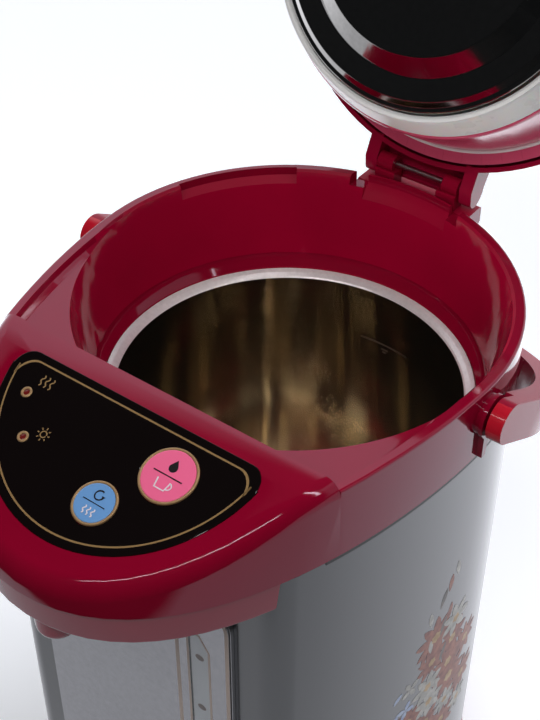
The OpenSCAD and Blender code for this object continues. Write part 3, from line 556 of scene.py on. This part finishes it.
def makeButton(name, at, r, paint, slot):
    # a coloured disc in a gold ring, with one dark icon above the bar and a pale one below
    place = onPanel(at[0] * mm, at[1] * mm)
    disc = [(0.0, -8), (2.5, -8), (2.5, -2.5), (r - 2.6, -2.5), (r - 2.6, -0.2),
            (r - 1.25, -0.12), (r - 1.25, 0.72), (r - 1.7, 0.82), (0.0, 1.0)]
    newPiece(name + "_disc", turned(disc, {7: 0.25}, place), name, slot, paint,
             replaces=(name,))
    ring = [(r - 1.2, -0.1), (r, -0.1), (r, 0.55), (r - 0.35, 0.9), (r - 0.85, 0.9),
            (r - 1.2, 0.6)]
    newPiece(name + "_ring", turned(ring, {2: 0.3, 3: 0.3, 4: 0.3, 5: 0.2}, place, closed=True),
             name, "gold_trim", goldTrim)
    dark, pale = bmesh.new(), bmesh.new()
    face = place @ Matrix.Translation((0, 0, icon["lift"] * mm))
    line, bold, thick, barThick = (icon[k] for k in ("line", "bold", "thick", "barThick"))
    s = r / icon["fullR"]
    half, down = icon["bar"] * s, -icon["barDown"] * s
    stroke(dark, [(-half, down), (half, down)], icon["barWidth"] * s, face, barThick)
    if name == "dispense_button":
        # a drop over a cup
        slab(dark, dropShape(0, 3.6, 2.0), face, barThick)
        stroke(pale, [(-3.2, -2.4), (-2.4, -6.6), (2.4, -6.6), (3.2, -2.4)], bold, face, thick)
        stroke(pale, arc(3.0, -4.2, 1.5, 80, -95), line, face, thick)
    else:
        # a turning arrow over steam
        stroke(dark, arc(0, 3.6, 2.1, 60, 360), 0.65, face, thick)
        slab(dark, [(2.9, 3.9), (1.2, 3.9), (2.1, 2.2)], face, thick)
        for x in (-2.2, 0, 2.2):
            stroke(pale, wave(x, -6.0, 3.6, 0.45), line, face, thick)
    newPiece(name + "_dark_icon", dark, name, slot, inkDark, smooth=0)
    newPiece(name + "_pale_icon", pale, name, slot, inkPale, smooth=0)


for name, b in buttons.items():
    makeButton(name, b["at"], b["r"], b["paint"], b["slot"])

lamps = {
    "at": [(-50, -121.5), (-37, -138)],
    "ring": [(1.45, -0.9), (2.6, -0.9), (2.6, 0.3), (2.3, 0.48), (1.7, 0.48), (1.45, 0.2)],
    "lens": [(0.0, -6), (1.4, -6), (1.4, 0.05), (1.0, 0.2), (0.5, 0.28), (0.0, 0.3)],
    "steam": (-47.5, -116.6), "sun": (-29.5, -133.2), "sunR": 1.5, "rays": 8, "ray": (2.3, 3.3),
}
ring, lens, glyphs = bmesh.new(), bmesh.new(), bmesh.new()
for x, y in lamps["at"]:
    place = onPanel(x * mm, y * mm)
    join(ring, turned(lamps["ring"], {2: 0.15, 3: 0.15, 4: 0.15}, place, 48, closed=True))
    join(lens, turned(lamps["lens"], {}, place, 40))
newPiece("lamp_rings", ring, "housing", "gold_trim", goldTrim, replaces=("lamp_lenses",))
newPiece("lamp_centres", lens, "housing", "gold_trim", lampRed)

# a steam icon and a sun beside the lamps
place = onSlope(plate["proud"] * mm)
k = 1 / math.cos(panelTilt)
for i in range(3):
    line = wave(lamps["steam"][0] + 2.6 * i, lamps["steam"][1] * k, 5.2, 0.55)
    stroke(glyphs, line, 0.6, place, plate["ink"])
cx, cy = lamps["sun"][0], lamps["sun"][1] * k
stroke(glyphs, arc(cx, cy, lamps["sunR"], 0, 345), 0.55, place, plate["ink"])
for i in range(lamps["rays"]):
    t = 2 * math.pi / lamps["rays"] * i
    ray = [(cx + r * math.cos(t), cy + r * math.sin(t)) for r in lamps["ray"]]
    stroke(glyphs, ray, 0.5, place, plate["ink"])
newPiece("plate_icons", glyphs, "housing", "gold_trim", goldInk, smooth=0)
print("control plate made")


# water gauge: gold outlines and plain level marks on the panel

gauge = {
    "x": 41, "half": 5.4, "low": 62, "top": 248, "faceY": -124, "border": 1.3, "cutUp": 8,
    "cutIn": 5, "lineIn": 0.05, "lineDepth": 0.02, "lineThick": 0.06, "marks": 5,
    "markFrom": 22, "markStep": 37, "markR": 2.4, "markSquash": 0.8, "markDepth": 1.45,
    "markThick": 0.05, "stripIn": 0.3, "stripDepth": 1.75, "stripThick": 0.15,
}
gaugeFrame = {"left": 27.6, "right": 58.4, "low": 50, "top": 271.6, "corner": 11.6, "band": 2.1}


def onFront(lift):
    # X right, Y up, Z out of the front panel; lift is in millimetres
    return Matrix.Translation((0, (gauge["faceY"] - lift) * mm, 0)) @ Matrix.Rotation(
        math.radians(90), 4, "X")


def grown(points, d):
    # an outline moved outward by d, for outlines that run anticlockwise
    out = []
    n = len(points)
    for i in range(n):
        a, b, c = (Vector(points[(i + s) % n]) for s in (-1, 0, 1))
        u, v = (b - a).normalized(), (c - b).normalized()
        m = Vector((u.y + v.y, -u.x - v.x)).normalized()
        out.append(tuple(b + m * d / max(0.3, m.dot(Vector((u.y, -u.x))))))
    return out


left, right = gauge["x"] - gauge["half"], gauge["x"] + gauge["half"]
low, top = gauge["low"], gauge["top"]
loop = [(left, low), (right, low), (right, top - gauge["cutUp"]),
        (right - gauge["cutIn"], top), (left, top)]
f = gaugeFrame
frameLoop = ([(f["left"], f["low"]), (f["right"], f["low"])]
             + arc(f["right"] - f["corner"], f["top"] - f["corner"], f["corner"], 0, 90, 9)
             + [(f["left"], f["top"])])
lines = bmesh.new()
place, thick = onFront(-gauge["lineDepth"]), gauge["lineThick"]
join(lines, ribbon(grown(loop, gauge["border"]), grown(loop, gauge["lineIn"]), place, thick))
join(lines, ribbon(frameLoop, grown(frameLoop, -f["band"]), place, thick))
newPiece("gauge_gold_lines", lines, "housing", "gold_trim", beigePaint, smooth=0)
marks, strip = bmesh.new(), bmesh.new()
for i in range(gauge["marks"]):
    up = low + gauge["markFrom"] + gauge["markStep"] * i
    slab(marks, arc(gauge["x"], up, gauge["markR"], 0, 345, 22, gauge["markSquash"]),
         onFront(-gauge["markDepth"]), gauge["markThick"])
newPiece("gauge_marks", marks, "housing", "white_plastic", ballPaint, smooth=0)
slab(strip, grown(loop, -gauge["stripIn"]), onFront(-gauge["stripDepth"]), gauge["stripThick"])
newPiece("gauge_strip", strip, "housing", "white_plastic", stripPaint, smooth=0)
print("gauge made")


# lid parts turned on a lathe, drawn closed from the pot's mouth and swung open

lidTrim = {"front": -90.3, "reach": 205.4, "pinY": 113.5, "pinZ": 61}


def trimmed(bm, drawn):
    # the front of the lid's round parts is cut flat and then round about the hinge pin
    t = lidTrim
    far = (t["reach"] - drawn) * mm
    for v in bm.verts:
        v.co.y = max(v.co.y, (t["front"] + drawn) * mm)
        arm = Vector((v.co.y - t["pinY"] * mm, v.co.z - t["pinZ"] * mm))
        if arm.length > far:
            arm = arm.normalized() * far
            v.co.y, v.co.z = arm.x + t["pinY"] * mm, arm.y + t["pinZ"] * mm


def lathe(name, profile, fillets, body, slot, *materials, steps=256, place=None, trim=None,
          replaces=()):
    bm = spun([(r * mm, z * mm) for r, z in rounded(profile, fillets, 5)], steps, True)
    if trim is not None:
        trimmed(bm, trim)
    bmesh.ops.transform(bm, matrix=place or lidPlace(), verts=bm.verts)
    bmesh.ops.recalc_face_normals(bm, faces=bm.faces)
    return newPiece(name, bm, body, slot, *materials, smooth=35, replaces=replaces)


plateProfile = [(0.02, -7.2), (54.8, -7.2), (64.4, -1.0), (74.4, -2.6), (77.3, -0.5),
                (79.2, -0.5), (79.8, 0.1), (79.8, 7.9), (79.2, 7.9), (79.2, 0.2), (77.0, 0.2),
                (74.2, -1.9), (64.3, -0.3), (54.5, -6.5), (0.02, -6.5)]
plateEase = {1: 3.0, 2: 2.2, 3: 1.6, 4: 0.8, 5: 0.8, 6: 0.6, 9: 0.4, 10: 0.6, 11: 1.2, 12: 1.6,
             13: 2.4}
lathe("lid_plate_polished", plateProfile, plateEase, "lid", "plate_steel", plateSteel,
      replaces=("lid_plate",))
ringProfile = [(80.9, 3.2), (82.6, 2.2), (83.6, 1.9), (84.6, 3.2), (87.0, 9.0), (89.9, 15.0),
               (89.9, 15.8), (70, 15.8), (70, 13.1), (80.9, 13.1)]
lathe("lid_ring_milky", ringProfile, {1: 0.5, 2: 0.6, 3: 1.5, 5: 0.6, 6: 0.3}, "lid",
      "soft_white", milkySilicone, trim=0.2, replaces=("lid_ring",))
lipProfile = [(80.9, 2.9), (80.9, 1.9), (82.2, 0.5), (83.7, 0.5), (83.8, 1.2), (82.8, 1.6),
              (82.2, 2.1)]
lathe("lid_seal_lip", lipProfile, {1: 0.3, 2: 0.5, 3: 0.3, 4: 0.3, 5: 0.3}, "lid",
      "soft_white", milkyLip, trim=0.2, replaces=("lid_seal",))


def lidBlock(part, angle, ease=0.0):
    # a small block lying outwards on the lid, at an angle in degrees
    bit = bmesh.new()
    bmesh.ops.create_cube(bit, size=1)
    bmesh.ops.scale(bit, vec=[s * mm for s in part["size"]], verts=bit.verts)
    if ease:
        bmesh.ops.bevel(bit, geom=bit.edges[:], offset=ease * mm, segments=2, affect="EDGES",
                        profile=0.5, material=-1)
    turn = Matrix.Rotation(math.radians(angle), 4, "Z")
    out = Matrix.Translation((part["out"] * mm, 0, part["up"] * mm))
    bmesh.ops.transform(bit, matrix=lidPlace() @ turn @ out, verts=bit.verts)
    return bit


# small moulding tabs along the lip
tab = {"count": 18, "first": -161, "size": (1.5, 0.8, 0.7), "out": 82.9, "up": 0.75}
tabs = bmesh.new()
for i in range(tab["count"]):
    join(tabs, lidBlock(tab, tab["first"] + 360 / tab["count"] * i, ease=0.2))
newPiece("lid_seal_tabs", tabs, "lid", "soft_white", milkyLip)

# pale seal line where the drum meets the lid
lineProfile = [(96.4, 56.9), (96.6, 55.6), (97.4, 55.2), (98.0, 55.7), (98.1, 56.9)]
lathe("lid_joint_line", lineProfile, {1: 0.3, 2: 0.4, 3: 0.3}, "lid", "soft_white", milkyLip,
      trim=0.3)

# fine ribs on the underside of the brim, none along its flat front, in the pale pink copy of the plastic that is
# painted light
rib = {"count": 60, "size": (4.4, 0.45, 0.3), "out": 100.6, "up": 56.62, "front": -0.80}
ribs = bmesh.new()
for i in range(rib["count"]):
    angle = 360 / rib["count"] * i
    if math.sin(math.radians(angle)) >= rib["front"]:
        join(ribs, lidBlock(rib, angle))
newPiece("lid_brim_ribs", ribs, "lid", "burgundy_plastic", crimsonDrumLit)
print("lid made")


# steel pot: rolled flange, rounded foot and a stepped floor, with a plain level mark

potProfile = [(0.02, -215), (26, -215), (28, -213.8), (46, -213.8), (48, -215), (62, -215),
              (71, -215), (85, -201), (85, -1.4), (85.8, -0.6), (88, 0.7), (90.4, 1.6),
              (90.4, 0.7), (88.3, -0.2), (85.8, -1.8), (85.8, -201), (71, -215.8),
              (0.02, -215.8)]
potEase = {1: 1.5, 2: 1.5, 3: 1.5, 4: 1.5, 7: 19, 8: 1.0, 9: 1.2, 10: 3.0, 11: 0.3, 12: 0.3,
           15: 19}
flangeDepth = 1.3  # below the mouth; the metal above it is the satin flange
piece = lathe("pot_lining", potProfile, potEase, "housing", "pot_steel", potSteel, rimSteel,
              steps=192, place=Matrix.Translation((0, 0, mouthZ)), replaces=("inner_pot",))
for p in piece.data.polygons:
    if p.center.z > mouthZ - flangeDepth * mm:
        p.material_index = 1

# each bar of the mark is long, tall and so far up from the first, in millimetres
level = {"turn": 88, "depth": -33, "r": 84.9, "arcR": 84.75, "proud": 0.35,
         "bars": ((30, 1.0, 0.0), (4.5, 1.0, -3.2), (2.6, 0.9, -5.0))}
mark = bmesh.new()
for wide, tall, up in level["bars"]:
    bit = bmesh.new()
    bmesh.ops.create_grid(bit, x_segments=12, y_segments=2, size=0.5)
    for v in bit.verts:
        a = math.radians(level["turn"]) + v.co.x * wide / level["arcR"]
        r = level["r"] - (level["proud"] if abs(v.co.y) < 0.4 and abs(v.co.x) < 0.49 else 0)
        v.co = Vector((r * math.cos(a) * mm, r * math.sin(a) * mm,
                       mouthZ + (level["depth"] + up + v.co.y * tall) * mm))
    join(mark, bit)
bmesh.ops.recalc_face_normals(mark, faces=mark.faces)
newPiece("pot_level_mark", mark, "housing", "pot_steel", levelSteelShaded)
print("pot made")


# body: dark seam line under the collar, painted sprigs on its right flank

flank = {"bendY": -50, "swell": 84, "narrow": 0.6}  # the curve from the side to the nose's tip


def bezier(a, b, c, d, t):
    return a * (1 - t) ** 3 + 3 * b * t * (1 - t) ** 2 + 3 * c * t * t * (1 - t) + d * t ** 3


def frontPoint(d, t):
    # a point of the front's outline drawn in by d millimetres; t is 1 at the nose's tip
    r, tip = bodyR / mm - d, noseTip / mm + d
    return (bezier(r, r, flank["swell"] - flank["narrow"] * d, 0, t),
            bezier(0, flank["bendY"], tip, tip, t))


def outline(d, steps):
    # the collar's outline drawn in by d, from the nose's tip round the back
    r = bodyR / mm - d
    front = [frontPoint(d, 1 - i / steps) for i in range(steps + 1)]
    rear = [(r * math.cos(math.pi * i / 2 / steps), r * math.sin(math.pi * i / 2 / steps))
            for i in range(1, steps + 1)]
    half = front + rear
    return half + [(-x, y) for x, y in half[-2:0:-1]]


def sideX(y, d=0.5):
    # how far right the body's flank lies at y, in millimetres
    if y >= 0:
        return math.sqrt((bodyR / mm - d) ** 2 - y * y)
    low, high = 0.0, 1.0
    for i in range(40):
        t = (low + high) / 2
        if frontPoint(d, t)[1] > y:
            low = t
        else:
            high = t
    return frontPoint(d, low)[0]


seam = {"below": 2.1, "above": 0.1, "proud": 0.25, "deep": 0.8, "radius": 108, "frontY": -100}
seamZ = mouthZ / mm + pot["seamUp"]
edge = [p for p in outline(pot["shellGap"] - seam["proud"], 60) if p[1] > seam["frontY"]]
# the strip is open at the front, so it starts at the widest gap
gap = max(range(len(edge)), key=lambda i: (Vector(edge[i]) - Vector(edge[i - 1])).length)
edge = edge[gap:] + edge[:gap]
bm = bmesh.new()
rows = []
for drawn, z in ((0, seamZ - seam["below"]), (0, seamZ - seam["above"]),
                 (seam["deep"], seamZ - seam["above"]), (seam["deep"], seamZ - seam["below"])):
    k = (1 - drawn / seam["radius"]) * mm
    rows.append([bm.verts.new((x * k, y * k, z * mm)) for x, y in edge])
for a, b in zip(rows, rows[1:] + rows[:1]):
    for i in range(len(edge) - 1):
        bm.faces.new((a[i], a[i + 1], b[i + 1], b[i]))
bm.faces.new([r[0] for r in rows])
bm.faces.new([r[-1] for r in rows][::-1])
bmesh.ops.recalc_face_normals(bm, faces=bm.faces)
newPiece("seam_strip", bm, "housing", "black_plastic", blackPlastic)


petalShape = {"steps": 10, "across": 3, "tip": 1.1, "blunt": 0.8}


def petal(bm, centre, reach, width, turn, lift):
    # a leaf-shaped patch lying on the body's right flank; centre is y, z in millimetres
    steps, across = petalShape["steps"], petalShape["across"]
    rows = []
    c, s = math.cos(math.radians(turn)), math.sin(math.radians(turn))
    for i in range(steps + 1):
        t = i / steps
        half = width / 2 * math.sin(math.pi * t ** petalShape["tip"]) ** petalShape["blunt"]
        row = []
        for j in range(-across, across + 1):
            u, v = reach * t, half * j / across
            y, z = centre[0] + u * c - v * s, centre[1] + u * s + v * c
            row.append(bm.verts.new(((sideX(y) + lift) * mm, y * mm, z * mm)))
        rows.append(row)
    for a, b in zip(rows, rows[1:]):
        for j in range(2 * across):
            bm.faces.new((a[j], b[j], b[j + 1], a[j + 1]))


def bloom(bm, centre, reach, petals, turn, width, lift=0.04):
    # petals all round one centre
    for i in range(petals):
        petal(bm, centre, reach, reach * width, turn + 360 * i / petals, lift)


# blooms in slanting rows that widen towards the foot, loose petals above and beside them
sprigs = {"top": -68, "left": -11, "row": 15.5, "rows": 8, "step": 17, "reach": 14.5,
          "lean": 5.5, "loose": 9}
white, red, blue, gold, leaf = (bmesh.new() for i in range(5))
zTop = mouthZ / mm + sprigs["top"]
for k in range(2, sprigs["rows"]):
    z = zTop - sprigs["row"] * k
    for i in range(min(4, 1 + k // 2)):
        y = 4 + sprigs["left"] - sprigs["lean"] * k + sprigs["step"] * i + 5 * math.sin(2.1 * k)
        r = sprigs["reach"] + 2 * math.sin(3.7 * k + i)
        spot = (y, z + 4 * math.sin(5.1 * i + k))
        if (k + 2 * i) % 3 == 1:
            bloom(white, spot, r * 0.78, 7, 20 * k + 11 * i, 0.42, 0.06)
            bloom(gold, spot, r * 0.2, 5, 30 * k, 0.8, 0.08)
        else:
            bloom(red, spot, r, 9, 25 * k + 17 * i, 0.36)
            bloom(gold, spot, r * 0.24, 6, 15 * k, 0.8, 0.07)
for k in range(3, sprigs["rows"]):
    z = zTop - sprigs["row"] * k
    y = -12 + sprigs["left"] - sprigs["lean"] * k + 4 * math.sin(2.1 * k)
    bloom(white if k % 2 else blue, (y, z - 6), 7, 4, 40 * k, 0.5, 0.05)
    petal(blue, (y - 6, z - 3), 8, 3.2, 130 + 30 * k, lift=0.05)
for k in range(sprigs["loose"]):
    spot = (2 + sprigs["left"] - 5.3 * (k % 4) - k, zTop + 8 - 7.5 * k)
    petal((white, red, leaf)[k % 3], spot, 11 + k % 3, 3.6, 96 - 13 * (k % 3), lift=0.05)
for name, mesh, paint in (("sprig_leaves", leaf, sprigLeaf), ("sprig_red", red, sprigRed),
                          ("sprig_white", white, sprigWhite), ("sprig_blue", blue, sprigBlue),
                          ("sprig_gold", gold, sprigGold)):
    bmesh.ops.recalc_face_normals(mesh, faces=mesh.faces)
    newPiece(name, mesh, "housing", "body_metal", paint, smooth=60)
print("body made")


# camera, floor and light

view = {"place": (0.2870, -0.4034, 0.7232), "azimuth": 36.5, "drop": 40.45, "roll": 0.11,
        "lens": 67.5}
a, e = math.radians(view["azimuth"]), math.radians(view["drop"])
ahead = Vector((-math.sin(a) * math.cos(e), math.cos(a) * math.cos(e), -math.sin(e)))
camera = bpy.data.objects.new("camera", bpy.data.cameras.new("camera"))
scene.collection.objects.link(camera)
camera.location = view["place"]
camera.rotation_euler = (ahead.to_track_quat("-Z", "Y") @ Matrix.Rotation(
    math.radians(view["roll"]), 3, "Z").to_quaternion()).to_euler()
camera.data.lens = view["lens"]
scene.camera = camera

# the floor is pale to the camera, with a painted shadow beside the pot's left front; to reflected and bounced rays
# it is painted dark in front of a slanting edge, and behind that edge it glows for reflected rays as a painted
# reflection
floorLook = {
    "tone": 0.92, "rough": 0.6, "size": 15, "edgeY": -0.405, "edgeSlant": 0.22, "edgeSoft": 0.02,
    "front": 0.01, "back": 0.2, "glow": 0.4, "shade": 0.35, "shadeAt": (-0.11, -0.12, 0),
    "shadeReach": (0.02, 0.2), "shineReach": (-0.15, 0.35), "shine": (0.42, 1.6),
    "glowColor": (0.96, 0.97, 1.04, 1),
}
f = floorLook
edges = f["edgeY"] - f["edgeSoft"], f["edgeY"] + f["edgeSoft"]
floorPaint = newMaterial("pale floor", (f["tone"],) * 3, f["rough"])


def times(m, a, b):
    n = add(m, "ShaderNodeMath", operation="MULTIPLY")
    link(m, a, n.inputs[0])
    link(m, b, n.inputs[1])
    return n.outputs["Value"]


def onCamera(m, path):
    # a mix whose second input holds for what the camera sees directly
    n = add(m, "ShaderNodeMix", data_type="FLOAT")
    link(m, path.outputs["Is Camera Ray"], n.inputs["Factor"])
    return n


place = add(floorPaint, "ShaderNodeTexCoord")
path = add(floorPaint, "ShaderNodeLightPath")
across = add(floorPaint, "ShaderNodeVectorMath", operation="DOT_PRODUCT")
link(floorPaint, place.outputs["Object"], across.inputs[0])
across.inputs[1].default_value = (-f["edgeSlant"], 1, 0)
distance = across.outputs["Value"]
pick = onCamera(floorPaint, path)
# painted reflection: to reflected and bounced rays the floor is dark, darkest in front of the slanting edge
link(floorPaint, mapped(floorPaint, distance, *edges, f["front"], f["back"]), pick.inputs["A"])
pick.inputs["B"].default_value = f["tone"]
shade = add(floorPaint, "ShaderNodeCombineColor")
for socket in ("Red", "Green", "Blue"):
    link(floorPaint, pick.outputs["Result"], shade.inputs[socket])
link(floorPaint, shade.outputs["Color"], shaderOf(floorPaint).inputs["Base Color"])
# painted reflection: behind the edge the floor glows for reflected rays, more so further back
sharp = mapped(floorPaint, distance, *edges, 0, 1)
grow = mapped(floorPaint, distance, *f["shineReach"], *f["shine"])
glossy = times(floorPaint, path.outputs["Is Glossy Ray"], sharp)
lift = onCamera(floorPaint, path)
link(floorPaint, times(floorPaint, glossy, grow), lift.inputs["A"])
# painted shadow: the floor's glow as the camera sees it is dimmed beside the pot's left front
beside = add(floorPaint, "ShaderNodeVectorMath", operation="DISTANCE")
link(floorPaint, place.outputs["Object"], beside.inputs[0])
beside.inputs[1].default_value = f["shadeAt"]
plain = mapped(floorPaint, beside.outputs["Value"], *f["shadeReach"], f["glow"] - f["shade"],
               f["glow"])
link(floorPaint, plain, lift.inputs["B"])
shaderOf(floorPaint).inputs["Emission Color"].default_value = f["glowColor"]
link(floorPaint, lift.outputs["Result"], shaderOf(floorPaint).inputs["Emission Strength"])
bm = bmesh.new()
bmesh.ops.create_grid(bm, x_segments=2, y_segments=2, size=f["size"])
floorMesh = bpy.data.meshes.new("floor")
bm.to_mesh(floorMesh)
bm.free()
floor = bpy.data.objects.new("floor", floorMesh)
floorMesh.materials.append(floorPaint)
scene.collection.objects.link(floor)


def softLight(name, place, target, size, power):
    light = bpy.data.objects.new(name, bpy.data.lights.new(name, "AREA"))
    light.data.shape, light.data.size, light.data.size_y = "RECTANGLE", size[0], size[1]
    light.data.energy = power
    light.location = place
    light.rotation_euler = (Vector(target) - Vector(place)).to_track_quat("-Z", "Y").to_euler()
    scene.collection.objects.link(light)
    return light


potMiddle = (0, 0, 0.33)
fill = softLight("overhead fill", (0.1, -1.0, 1.4), potMiddle, (1.2, 1.0), 6.8)
fill.visible_glossy = False
kick = softLight("lid fill", (0.05, 0.0, hinge.z + 0.01), (0.05, 0.1, hinge.z + 0.14),
                 (0.12, 0.06), 0.045)
kick.visible_glossy = kick.visible_camera = False
softLight("front tube", (0.2, -0.8, 1.45), potMiddle, (1.3, 0.05), 3.2)
for x in (0.68, 0.84):
    softLight("overhead tube", (x, -0.08, 1.6), potMiddle, (0.035, 1.5), 1.5)

# the room is bright behind the pot, dark in front of it and overhead, dimmer at the right
room = {
    "front": 0.012, "back": 1.15, "backFrom": (0.0, 0.05), "ceiling": 0.05,
    "ceilingFrom": (0.74, 0.82), "right": 0.4, "rightFrom": (0.35, 0.85), "seen": 1.12,
    "soft": 1.75, "color": (0.94, 0.98, 1.06, 1),
}
world = bpy.data.worlds.new("studio")
scene.world = world
world.use_nodes = True
coord = add(world, "ShaderNodeTexCoord")
way = add(world, "ShaderNodeSeparateXYZ")
link(world, coord.outputs["Generated"], way.inputs[0])
back = mapped(world, way.outputs["Y"], *room["backFrom"], room["front"], room["back"])
ceiling = mapped(world, way.outputs["Z"], *room["ceilingFrom"], 1.0, room["ceiling"])
side = mapped(world, way.outputs["X"], *room["rightFrom"], 1.0, room["right"])
path = add(world, "ShaderNodeLightPath")
pick = onCamera(world, path)
link(world, times(world, times(world, back, side), ceiling), pick.inputs["A"])
pick.inputs["B"].default_value = room["seen"]
soft = mapped(world, path.outputs["Is Diffuse Ray"], 0, 1, 1.0, room["soft"])
sky = world.node_tree.nodes["Background"]
link(world, times(world, pick.outputs["Result"], soft), sky.inputs["Strength"])
sky.inputs["Color"].default_value = room["color"]
scene.view_settings.view_transform = "Standard"
print("camera, floor and light made")
